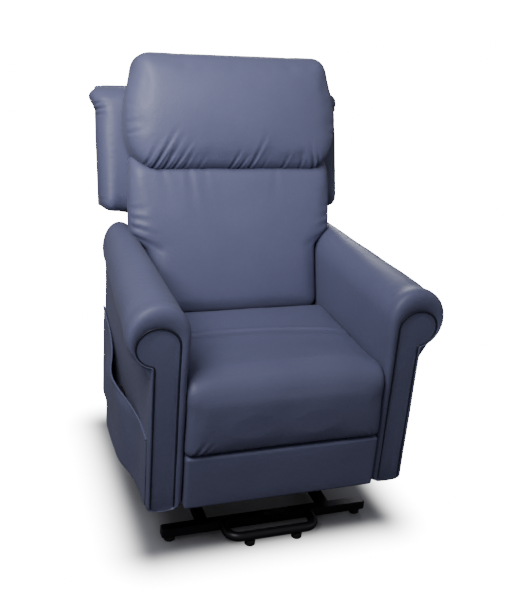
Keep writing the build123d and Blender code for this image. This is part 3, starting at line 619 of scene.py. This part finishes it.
# --- Wings -----------------------------------------------------------------------------------------
# A padded wing stands each side of the back, behind the cushions: plywood under foam, the leather
# pulled round to the rear, with a scrolled ear at its top.
wing_inner_x, wing_outer_x = 0.2330, 0.3610
wing_low, wing_high = 0.264, 0.608
for name, side in (("left", -1), ("right", 1)):
    wing_half = ((wing_outer_x - wing_inner_x) / 2, 0.052, (wing_high - wing_low) / 2)
    wing = cushion_block(f"wing_cover_{name}", wing_half, 0.030, cuts=30)
    local = read(wing)
    rise = local[:, 2] + (wing_high + wing_low) / 2
    part = (rise - wing_low) / (wing_high - wing_low)
    x = local[:, 0] + (wing_inner_x + wing_outer_x) / 2
    out = np.clip((x - wing_inner_x) / (wing_outer_x - wing_inner_x), 0, 1)
    ear = smoothstep(part, 0.80, 0.97) * out ** 1.5
    x = x + 0.014 * ear - 0.004 * out * bump_at(part, 0.78, 0.10) - 0.006 * out * (1 - part)
    depth = (0.156 + local[:, 1] + 0.014 * ear
             - 0.010 * np.sin(np.clip(out, 0, 1) * math.pi) * (local[:, 1] < 0))
    depth = depth + 0.016 * smoothstep(part, 0.88, 1.0) * (local[:, 1] < 0)
    depth = depth - 0.020 * (1 - part) * smoothstep(out, 0.5, 0.9)
    write(wing, on_back(side * x, rise, depth))
    if side < 0:
        wing.data.flip_normals()
    stuff(wing, 0.005)

    def wing_marks(p, n):
        """Small pulls at the outer edge, under the ear and above the foot."""
        x, up = off_back(p)
        outer = 0.362 - side * x
        total = 0.0010 * ripple(p, 0.05, 31)
        for start, lean, reach, deep in ((0.545, 0.1, 0.05, 0.0030), (0.560, 0.25, 0.04, 0.0022),
                                          (0.530, 0.0, 0.035, 0.0018), (0.300, -0.2, 0.03, 0.0015)):
            total = total + fold(up, outer, start, lean, reach, 0.006, deep)
        return total

    push(wing, wing_marks)
    finish(wing, 0.6, f"wing_{name}")
    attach(wing, "backrest")

# --- Outside back, rear panel and footrest valance --------------------------------------------------
# Flat leather panels over board with a thin wadding: one closes the outside of the back, one the
# back of the body under it, and one hangs below the footrest pad.


def panel(name, low, high, radius, cuts=40):
    """A thin padded board between two corners, its edges rounded."""
    low, high = np.array(low), np.array(high)
    made = cushion_block(name, (high - low) / 2, radius, cuts)
    write(made, read(made) + (low + high) / 2)
    return made


outside = panel("outside_back", (-0.350, 0.2085, -0.100), (0.350, 0.2280, 0.618), 0.0085, 60)
across, depth, rise = read(outside).T
waist_half, outside_half = 0.2475, 0.350
narrow = waist_half / outside_half
spread = narrow + (1 - narrow) * smoothstep(rise, 0.254, 0.272)
swell = 0.005 * (1 - (across / 0.35) ** 4) * (1 - np.clip(((rise - 0.26) / 0.36) ** 4, 0, 1))
depth = depth + swell * (depth > 0.218)
write(outside, on_back(across * spread, rise, depth))
push(outside, lambda p, n: 0.0008 * ripple(p, 0.06, 41))
bpy.ops.object.shade_smooth()
finish(outside, 0.3, "back_panel")
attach(outside, "backrest")

for name, low, high, radius in (
        ("back_top_shelf", (-0.2310, 0.0965, 0.590), (0.2310, 0.1850, 0.612), 0.0105),
        ("back_top_roll", (-0.3440, 0.1800, 0.575), (0.3440, 0.2285, 0.6175), 0.0180)):
    top_piece = panel(name, low, high, radius, 40)
    across, depth, rise = read(top_piece).T
    write(top_piece, on_back(across, rise, depth))
    push(top_piece, lambda p, n: 0.0010 * ripple(p, 0.05, 44))
    bpy.ops.object.shade_smooth()
    finish(top_piece, 0.4, "back_panel")
    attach(top_piece, "backrest")

# Leather cheeks close the sides of the lower back, between the lumbar cushion and the outside back.
for name, side in (("left", -1), ("right", 1)):
    cheek = panel(f"back_cheek_{name}", (0.2400, 0.0970, -0.060), (0.2472, 0.2120, 0.268), 0.0034, 40)
    across, depth, rise = read(cheek).T
    write(cheek, on_back(side * across, rise, depth))
    if side < 0:
        cheek.data.flip_normals()
    push(cheek, lambda p, n: 0.0007 * ripple(p, 0.04, 46))
    bpy.ops.object.shade_smooth()
    finish(cheek, 0.2)
    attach(cheek, "backrest")

# A loose leather flap closes the slit between the outside back and the rear panel. It is tacked to
# both.
flap = panel("back_flap", (-0.2465, 0.2125, 0.292), (0.2465, 0.2180, 0.374), 0.0026, 40)
push(flap, lambda p, n: 0.0008 * ripple(p, 0.05, 45))
bpy.ops.object.shade_smooth()
finish(flap, 0.2)
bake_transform(flap)


def loft(name, rows):
    """A grid primitive whose rows become the given rings of points, joined along the first edge."""
    rows = [np.asarray(r) for r in rows]
    count = len(rows[0])
    nothing_selected()
    bpy.ops.mesh.primitive_grid_add(x_subdivisions=count, y_subdivisions=len(rows) - 1, size=1)
    piece = bpy.context.object
    piece.name = name
    piece.data.name = name
    points = []
    for row in rows:
        points.extend(list(row) + [row[0]])
    write(piece, points)
    bpy.ops.object.mode_set(mode="EDIT")
    bpy.ops.mesh.select_all(action="SELECT")
    bpy.ops.mesh.remove_doubles(threshold=0.00001)
    bpy.ops.mesh.select_all(action="DESELECT")
    bpy.ops.mesh.select_mode(type="EDGE")
    bpy.ops.mesh.select_non_manifold(extend=False, use_boundary=True, use_wire=False,
                                     use_multi_face=False, use_non_contiguous=False,
                                     use_verts=False)
    bpy.ops.mesh.fill_holes(sides=0)
    bpy.ops.mesh.select_mode(type="VERT")
    bpy.ops.mesh.select_all(action="SELECT")
    bpy.ops.mesh.normals_make_consistent(inside=False)
    bpy.ops.object.mode_set(mode="OBJECT")
    bpy.ops.object.shade_smooth()
    return piece


def smooth_levels(piece, levels):
    """Subdivides a mesh smoothly, levels times."""
    soft = piece.modifiers.new("subdivision", "SUBSURF")
    soft.levels = soft.render_levels = levels
    nothing_selected()
    piece.select_set(True)
    bpy.context.view_layer.objects.active = piece
    bpy.ops.object.modifier_apply(modifier=soft.name)


def piped(name, line, facing_way, wide, high, skin, body):
    """A sewn welt along a line of points: wide across the surface, high along facing_way."""
    line = np.array(line)
    way = np.array(facing_way, float)
    tangent = np.gradient(line, axis=0)
    tangent /= np.linalg.norm(tangent, axis=1, keepdims=True)
    rounds = np.linspace(0, 2 * math.pi, 9)[:-1]
    welt = loft(name, [[here + wide * math.cos(a) * out + high * math.sin(a) * way for a in rounds]
                       for here, out in zip(line, np.cross(tangent, way))])
    smooth_levels(welt, 1)
    finish(welt, None, skin=skin)
    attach(welt, body)


# Welts cross the outside back at its waist and run up both its edges.
back_way = (0, lean_cos, -lean_sin)
steps = np.linspace(-1, 1, 40)
seam_rise, seam_depth = 0.2560, 0.2290
seam_line = on_back(steps * 0.2470, seam_rise + 0 * steps, seam_depth + 0.0025 * (1 - steps ** 4))
piped("back_seam_low", seam_line, back_way, 0.0026, 0.0024, slate_leather, "backrest")
for name, side in (("left", -1), ("right", 1)):
    up = np.linspace(0.276, 0.600, 30)
    piped(f"back_edge_{name}", on_back(side * 0.3455 + 0 * up, up, 0.2255 + 0 * up), back_way,
          0.0028, 0.0028, slate_leather, "backrest")

rear = panel("rear_cover", (-0.2530, 0.2225, 0.149), (0.2530, 0.2460, 0.320), 0.010, 40)
push(rear, lambda p, n: 0.0030 * (1 - (p[:, 0] / 0.25) ** 4) * smoothstep(n[:, 1], 0.5, 1)
     + 0.0006 * ripple(p, 0.05, 42))
bpy.ops.object.shade_smooth()
finish(rear, 0.3, "rear_panel")
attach(rear, "chair")

valance = panel("valance_cover", (-0.2530, -0.4110, 0.1530), (0.2530, -0.3655, 0.2955), 0.007, 50)
push(valance, lambda p, n: smoothstep(-n[:, 1], 0.5, 1) * (
    0.0030 * (1 - (p[:, 0] / 0.25) ** 4) * (1 - ((p[:, 2] - 0.225) / 0.07) ** 4)
    + 0.0007 * ripple(p, 0.05, 43)))
bpy.ops.object.shade_smooth()
finish(valance, 0.3, "footrest_valance")
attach(valance, "footrest")

# --- Arms ---------------------------------------------------------------------------------------
# Each arm is a timber box and a rolled top under foam, wrapped in one leather cover that is
# turned over the front edge. A keyhole-shaped facing, edged with piping, closes the front.
arm_inner_x, arm_outer_x = 0.2550, 0.3440
arm_low, roll_z = 0.1490, 0.6120
front_roll = (0.3250, 0.0750, 0.0760)
rear_roll = (0.3020, 0.0480, 0.0770)
arm_front_y, arm_rear_y = -0.4000, 0.2370
rim_radius = 0.016
facing_y = arm_front_y + 0.005
key_centre = (0.3270, 0.5880)
key_radius = (0.0520, 0.0480)
stem_inner_x, stem_outer_x = 0.2760, 0.3350
stem_mid_x = (stem_inner_x + stem_outer_x) / 2
wall_points, arc_points = 26, 46
rim_turn = 0.86 * math.pi
turn_steps = 14
tail = 0.018


def ring(inner, outer, centre, radius, top_z, low_z):
    """Outline of an arm section seen from the front: up the inner wall, over the roll, round to the
    notch, down the outer wall. The same number of points each time, so sections can be joined."""
    cx, (rx, rz) = centre, radius
    notch = -math.acos(max(-1, min(1, (outer - cx) / rx)))
    out = []
    for i in range(wall_points):
        t = i / wall_points
        out.append((inner + (cx - rx - inner) * smoothstep(t, 0.75, 1.0), low_z + (top_z - low_z) * t))
    for i in range(arc_points):
        a = math.pi + (notch - math.pi) * i / (arc_points - 1)
        out.append((cx + rx * math.cos(a), top_z + rz * math.sin(a)))
    notch_z = top_z + rz * math.sin(notch)
    for i in range(1, wall_points + 1):
        t = i / wall_points
        out.append((outer, notch_z + (low_z - notch_z) * t))
    return np.array(out)


def arm_section(y, grow=0.0):
    """The arm's outline at a distance from the front, shrunk by grow."""
    t = np.clip((y - arm_front_y) / (arm_rear_y + 0.020 - arm_front_y), 0, 1)
    cx, rx, rz = (f + (r - f) * t for f, r in zip(front_roll, rear_roll))
    return ring(arm_inner_x + grow, arm_outer_x - grow, cx, (rx - grow, rz - grow), roll_z,
                arm_low + grow * 0.5)


def middle_line(outline, centre, wall_mid_x):
    """For each point of an arm outline, the point of its middle line that it is drawn in to. The
    two walls meet point for point, and the roll meets at its centre, so an end closes cleanly."""
    t = np.concatenate([np.arange(wall_points) / wall_points, np.ones(arc_points),
                        1 - np.arange(1, wall_points + 1) / wall_points])
    low = outline[0, 1]
    z = low + (centre[1] - low) * t
    x = wall_mid_x + (centre[0] - wall_mid_x) * smoothstep(t, 0.80, 1.0)
    return np.stack([x, z], axis=1)


keyhole = ring(stem_inner_x, stem_outer_x, key_centre[0], key_radius, key_centre[1], arm_low)
for name, side in (("left", -1), ("right", 1)):
    rows = []
    full = arm_section(arm_front_y + rim_radius)
    for i in range(turn_steps):
        a = rim_turn * (1 - i / turn_steps)
        share = (1 - math.cos(a)) / (1 - math.cos(rim_turn))
        high = math.sin(a)
        y = arm_front_y + (rim_radius if a < math.pi / 2 else 0.009) * (1 - high)
        flat = full + (keyhole - full) * share
        rows.append(np.stack([side * flat[:, 0], np.full(len(flat), y), flat[:, 1]], axis=1))
    for y in np.linspace(arm_front_y + rim_radius, arm_rear_y - tail, 34):
        flat = arm_section(y)
        rows.append(np.stack([side * flat[:, 0], np.full(len(flat), y), flat[:, 1]], axis=1))
    for i in range(1, 8):
        a = math.pi / 2 * i / 7
        flat = arm_section(arm_rear_y - tail, tail * (1 - math.cos(a)))
        upper_tail = tail * smoothstep(flat[:, 1], 0.50, 0.58)
        y = arm_rear_y - tail + (tail + upper_tail) * math.sin(a)
        rows.append(np.stack([side * flat[:, 0], y, flat[:, 1]], axis=1))
    end_line = middle_line(flat, (rear_roll[0], roll_z), (arm_inner_x + arm_outer_x) / 2)
    for share in (0.25, 0.5, 0.75, 1.0):
        closing = flat + (end_line - flat) * share
        y = arm_rear_y + tail * smoothstep(closing[:, 1], 0.50, 0.58) + 0.002 * share
        rows.append(np.stack([side * closing[:, 0], y, closing[:, 1]], axis=1))
    cover = loft(f"arm_cover_{name}", rows)
    smooth_levels(cover, 1)

    def arm_marks(p, n):
        """Slow unevenness of hand-pulled leather, and small pulls where it turns over the rim."""
        total = 0.0012 * ripple(p, 0.05, 50 + side)
        top_side = smoothstep(n[:, 2], 0.1, 0.7)
        total = total + 0.0016 * top_side * bump_at(p[:, 1], -0.375, 0.012)
        total = total - 0.0018 * top_side * bump_at(p[:, 1], -0.345, 0.020)
        return total

    push(cover, arm_marks)
    finish(cover, 0.5, f"arm_panel_{name}", f"arm_roll_{name}")
    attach(cover, "chair")

    # The facing: a crowned keyhole a little behind the rim.
    rows = []
    centre_line = middle_line(keyhole, key_centre, stem_mid_x)
    for share, y in ((0.0, 0.010), (0.0, 0.0045), (0.04, 0.0022), (0.10, 0.0008), (0.22, 0.0),
                     (0.45, -0.0003), (0.75, -0.0003), (1.0, -0.0003)):
        flat = keyhole + (centre_line - keyhole) * share
        rows.append(np.stack([side * flat[:, 0], np.full(len(flat), facing_y + y), flat[:, 1]], axis=1))
    facing = loft(f"facing_cover_{name}", rows)
    smooth_levels(facing, 1)
    finish(facing, 0.3, f"arm_facing_{name}")
    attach(facing, "chair")

    # The piping: a 6.6 mm leather cord sewn round the facing.
    piping_radius = 0.0033
    path_points = [(side * x, facing_y - 0.0002, z) for x, z in keyhole]
    path_points = path_points[:1] + path_points[2:-2] + path_points[-1:]
    piped(f"arm_piping_{name}", path_points, (0, 1, 0), piping_radius, piping_radius,
          piping_leather, "chair")

# --- Side pocket -------------------------------------------------------------------------------------
# A bag of the same leather sewn to the outside of the left arm, its mouth hemmed and sloping
# down to the front. The handset is kept in it.
pocket_front_y, pocket_rear_y = -0.384, 0.236
pocket_low_z = 0.160
mouth_front_z, mouth_rear_z = 0.345, 0.430
pocket_deep = 0.031
columns, levels = 48, 26
rows = []
for j in range(levels + 1):
    v = j / levels
    row = []
    for i in range(columns + 1):
        u = i / columns
        y = pocket_front_y + (pocket_rear_y - pocket_front_y) * u
        mouth = mouth_front_z + (mouth_rear_z - mouth_front_z) * u - 0.010 * math.sin(math.pi * u)
        z = pocket_low_z + (mouth - pocket_low_z) * v
        gape = float(smoothstep(u, 0.10, 0.36) * (1 - 0.72 * smoothstep(u, 0.56, 0.84))
                     * (1 - smoothstep(u, 0.90, 1.0)))
        base_round = float(np.sqrt(1 - (1 - min(1, (z - pocket_low_z) / 0.014)) ** 2))
        sag = 0.0035 * math.sin(9 * u + 3 * v) + 0.0025 * math.sin(17 * u - 5 * v)
        shut = 1 - 0.62 * float(smoothstep(z, 0.338, 0.385) * (1 - bump_at(y, -0.100, 0.085)))
        x = -arm_outer_x - 0.0015 - (pocket_deep + sag * v) * gape * base_round * shut
        row.append((x, y, z))
    rows.append(row)
nothing_selected()
bpy.ops.mesh.primitive_grid_add(x_subdivisions=columns, y_subdivisions=levels, size=1)
pocket = bpy.context.object
pocket.name = pocket.data.name = "pocket_bag"
write(pocket, [p for row in rows for p in row])
bpy.ops.object.mode_set(mode="EDIT")
bpy.ops.mesh.select_all(action="SELECT")
bpy.ops.mesh.normals_make_consistent(inside=False)
bpy.ops.object.mode_set(mode="OBJECT")
wall = pocket.modifiers.new("leather_thickness", "SOLIDIFY")
wall.thickness = 0.0028
wall.offset = 0
bpy.ops.object.modifier_apply(modifier=wall.name)
bpy.ops.object.shade_smooth()
smooth_levels(pocket, 1)
push(pocket, lambda p, n: 0.0008 * ripple(p, 0.03, 61))
finish(pocket, None, "side_pocket")
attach(pocket, "chair")

hem_line = [(row[0] - 0.0002, row[1], row[2]) for row in rows[-1]]
piped("pocket_hem", hem_line, (1, 0, 0), 0.0050, 0.0032, slate_leather, "chair")

# --- Carried-over frame parts ---------------------------------------------------------------------
# What is left of the CAD model shows as it is, in the finish of its material slot.
slots = {}
for entry in frame["record"]["subparts"]:
    slots[entry["node"]] = entry["material_slot"]
for node_name, part in frame["nodes"].items():
    if part.hide_render:
        continue
    wanted = slots.get(node_name)
    part.data.materials.clear()
    part.data.materials.append(slot_finish.get(wanted, powder_coat))
